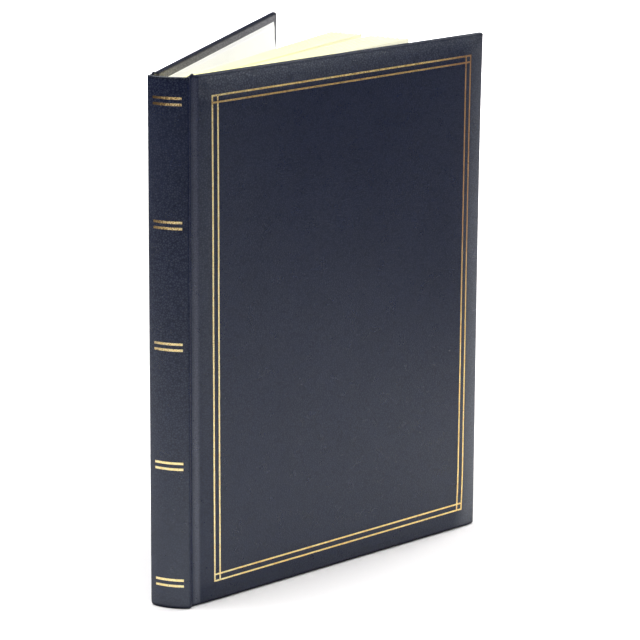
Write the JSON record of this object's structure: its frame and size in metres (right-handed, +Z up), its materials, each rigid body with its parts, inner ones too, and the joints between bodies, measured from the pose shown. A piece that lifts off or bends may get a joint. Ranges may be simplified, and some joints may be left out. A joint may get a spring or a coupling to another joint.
{
  "type": "stamp album",
  "caption": "Case-bound stamp stock album standing ajar: padded navy leatherette covers, gold line frame, rounded spine with gold bands, card leaves with glassine pockets on linen hinges.",
  "frame": {"origin": "centre of the rest pose box, on the floor plane under the bottom edges of the covers", "axes": "+Z up along the spine, +Y from the spine towards the fore edge along the back cover, +X from the back cover towards the front cover"},
  "size_m": [0.1438, 0.2326, 0.305],
  "materials": {
    "leatherette": "fine grained, satin, navy",
    "gold_foil": "hot pressed foil, bright with slight wear",
    "greyboard": "solid grey bookbinding board",
    "foam": "soft foam sheet",
    "endpaper": "matt white paper",
    "leaf_card": "smooth ivory card",
    "glassine": "translucent glazed paper",
    "linen": "woven tape",
    "wire": "galvanised wire"
  },
  "bodies": {
    "spine": {"spine_board": "greyboard", "spine_leatherette": "leatherette", "spine_gold_bands": "gold_foil", "front_joint_leatherette": "leatherette", "back_joint_leatherette": "leatherette", "spine_lining": "linen", "leaf_stubs": "leaf_card", "linen_hinges": "linen", "endpaper_folds": "endpaper", "wire_stitches": "wire"},
    "front_cover": {"front_board": "greyboard", "front_padding": "foam", "front_leatherette": "leatherette", "front_gold_frame": "gold_foil", "front_pastedown": "endpaper"},
    "back_cover": {"back_board": "greyboard", "back_padding": "foam", "back_leatherette": "leatherette", "back_pastedown": "endpaper"},
    "front_flyleaf": {"front_flyleaf": "endpaper"},
    "back_flyleaf": {"back_flyleaf": "endpaper"},
    "leaf_01": {"leaf_01": "leaf_card", "leaf_01_glassine": "glassine"},
    "leaf_02": {"leaf_02": "leaf_card", "leaf_02_glassine": "glassine"},
    "leaf_03": {"leaf_03": "leaf_card", "leaf_03_glassine": "glassine"},
    "leaf_04": {"leaf_04": "leaf_card", "leaf_04_glassine": "glassine"},
    "leaf_05": {"leaf_05": "leaf_card", "leaf_05_glassine": "glassine"},
    "leaf_06": {"leaf_06": "leaf_card", "leaf_06_glassine": "glassine"},
    "leaf_07": {"leaf_07": "leaf_card", "leaf_07_glassine": "glassine"},
    "leaf_08": {"leaf_08": "leaf_card", "leaf_08_glassine": "glassine"},
    "leaf_09": {"leaf_09": "leaf_card", "leaf_09_glassine": "glassine"},
    "leaf_10": {"leaf_10": "leaf_card", "leaf_10_glassine": "glassine"},
    "leaf_11": {"leaf_11": "leaf_card", "leaf_11_glassine": "glassine"},
    "leaf_12": {"leaf_12": "leaf_card", "leaf_12_glassine": "glassine"},
    "leaf_13": {"leaf_13": "leaf_card", "leaf_13_glassine": "glassine"},
    "leaf_14": {"leaf_14": "leaf_card", "leaf_14_glassine": "glassine"},
    "leaf_15": {"leaf_15": "leaf_card", "leaf_15_glassine": "glassine"},
    "leaf_16": {"leaf_16": "leaf_card", "leaf_16_glassine": "glassine"}
  },
  "joints": [
    {"name": "front_cover_hinge", "type": "hinge", "parent": "spine", "child": "front_cover", "pos_m": [-0.04264, -0.10924, 0.1525], "axis": [0, 0, -1], "range_deg": [-29.9, 70.1]},
    {"name": "back_cover_hinge", "type": "hinge", "parent": "spine", "child": "back_cover", "pos_m": [-0.06184, -0.10924, 0.1525], "axis": [0, 0, 1], "range_deg": [-1.6, 98.4]},
    {"name": "front_flyleaf_hinge", "type": "hinge", "parent": "spine", "child": "front_flyleaf", "pos_m": [-0.04394, -0.09934, 0.1525], "axis": [0, 0, -1], "range_deg": [-26.52, 62.15]},
    {"name": "back_flyleaf_hinge", "type": "hinge", "parent": "spine", "child": "back_flyleaf", "pos_m": [-0.06054, -0.09934, 0.1525], "axis": [0, 0, 1], "range_deg": [-0.92, 55.37]},
    {"name": "leaf_01_hinge", "type": "hinge", "parent": "spine", "child": "leaf_01", "pos_m": [-0.04474, -0.09814, 0.1525], "axis": [0, 0, -1], "range_deg": [-20.72, 48.55]},
    {"name": "leaf_02_hinge", "type": "hinge", "parent": "spine", "child": "leaf_02", "pos_m": [-0.04574, -0.09814, 0.1525], "axis": [0, 0, -1], "range_deg": [-20.02, 46.91]},
    {"name": "leaf_03_hinge", "type": "hinge", "parent": "spine", "child": "leaf_03", "pos_m": [-0.04674, -0.09814, 0.1525], "axis": [0, 0, -1], "range_deg": [-19.32, 45.27]},
    {"name": "leaf_04_hinge", "type": "hinge", "parent": "spine", "child": "leaf_04", "pos_m": [-0.04774, -0.09814, 0.1525], "axis": [0, 0, -1], "range_deg": [-18.62, 43.63]},
    {"name": "leaf_05_hinge", "type": "hinge", "parent": "spine", "child": "leaf_05", "pos_m": [-0.04874, -0.09814, 0.1525], "axis": [0, 0, -1], "range_deg": [-17.92, 41.99]},
    {"name": "leaf_06_hinge", "type": "hinge", "parent": "spine", "child": "leaf_06", "pos_m": [-0.04974, -0.09814, 0.1525], "axis": [0, 0, -1], "range_deg": [-17.22, 40.34]},
    {"name": "leaf_07_hinge", "type": "hinge", "parent": "spine", "child": "leaf_07", "pos_m": [-0.05074, -0.09814, 0.1525], "axis": [0, 0, -1], "range_deg": [-16.52, 38.7]},
    {"name": "leaf_08_hinge", "type": "hinge", "parent": "spine", "child": "leaf_08", "pos_m": [-0.05174, -0.09814, 0.1525], "axis": [0, 0, -1], "range_deg": [-15.82, 37.06]},
    {"name": "leaf_09_hinge", "type": "hinge", "parent": "spine", "child": "leaf_09", "pos_m": [-0.05274, -0.09814, 0.1525], "axis": [0, 0, -1], "range_deg": [-13.62, 31.91]},
    {"name": "leaf_10_hinge", "type": "hinge", "parent": "spine", "child": "leaf_10", "pos_m": [-0.05374, -0.09814, 0.1525], "axis": [0, 0, -1], "range_deg": [-13.12, 30.73]},
    {"name": "leaf_11_hinge", "type": "hinge", "parent": "spine", "child": "leaf_11", "pos_m": [-0.05474, -0.09814, 0.1525], "axis": [0, 0, -1], "range_deg": [-12.62, 29.56]},
    {"name": "leaf_12_hinge", "type": "hinge", "parent": "spine", "child": "leaf_12", "pos_m": [-0.05574, -0.09814, 0.1525], "axis": [0, 0, -1], "range_deg": [-12.12, 28.39]},
    {"name": "leaf_13_hinge", "type": "hinge", "parent": "spine", "child": "leaf_13", "pos_m": [-0.05674, -0.09814, 0.1525], "axis": [0, 0, -1], "range_deg": [-11.62, 27.22]},
    {"name": "leaf_14_hinge", "type": "hinge", "parent": "spine", "child": "leaf_14", "pos_m": [-0.05774, -0.09814, 0.1525], "axis": [0, 0, -1], "range_deg": [-11.12, 26.04]},
    {"name": "leaf_15_hinge", "type": "hinge", "parent": "spine", "child": "leaf_15", "pos_m": [-0.05874, -0.09814, 0.1525], "axis": [0, 0, -1], "range_deg": [-10.62, 24.87]},
    {"name": "leaf_16_hinge", "type": "hinge", "parent": "spine", "child": "leaf_16", "pos_m": [-0.05974, -0.09814, 0.1525], "axis": [0, 0, -1], "range_deg": [-10.12, 23.7]}
  ],
  "couplings": [
    {"joint": "front_flyleaf_hinge", "follows": "front_cover_hinge", "ratio": 0.88629},
    {"joint": "back_flyleaf_hinge", "follows": "back_cover_hinge", "ratio": 0.5625},
    {"joint": "leaf_01_hinge", "follows": "front_cover_hinge", "ratio": 0.69231},
    {"joint": "leaf_02_hinge", "follows": "front_cover_hinge", "ratio": 0.6689},
    {"joint": "leaf_03_hinge", "follows": "front_cover_hinge", "ratio": 0.64548},
    {"joint": "leaf_04_hinge", "follows": "front_cover_hinge", "ratio": 0.62207},
    {"joint": "leaf_05_hinge", "follows": "front_cover_hinge", "ratio": 0.59866},
    {"joint": "leaf_06_hinge", "follows": "front_cover_hinge", "ratio": 0.57525},
    {"joint": "leaf_07_hinge", "follows": "front_cover_hinge", "ratio": 0.55184},
    {"joint": "leaf_08_hinge", "follows": "front_cover_hinge", "ratio": 0.52843},
    {"joint": "leaf_09_hinge", "follows": "front_cover_hinge", "ratio": 0.45485},
    {"joint": "leaf_10_hinge", "follows": "front_cover_hinge", "ratio": 0.43813},
    {"joint": "leaf_11_hinge", "follows": "front_cover_hinge", "ratio": 0.4214},
    {"joint": "leaf_12_hinge", "follows": "front_cover_hinge", "ratio": 0.40468},
    {"joint": "leaf_13_hinge", "follows": "front_cover_hinge", "ratio": 0.38796},
    {"joint": "leaf_14_hinge", "follows": "front_cover_hinge", "ratio": 0.37124},
    {"joint": "leaf_15_hinge", "follows": "front_cover_hinge", "ratio": 0.35452},
    {"joint": "leaf_16_hinge", "follows": "front_cover_hinge", "ratio": 0.33779}
  ]
}
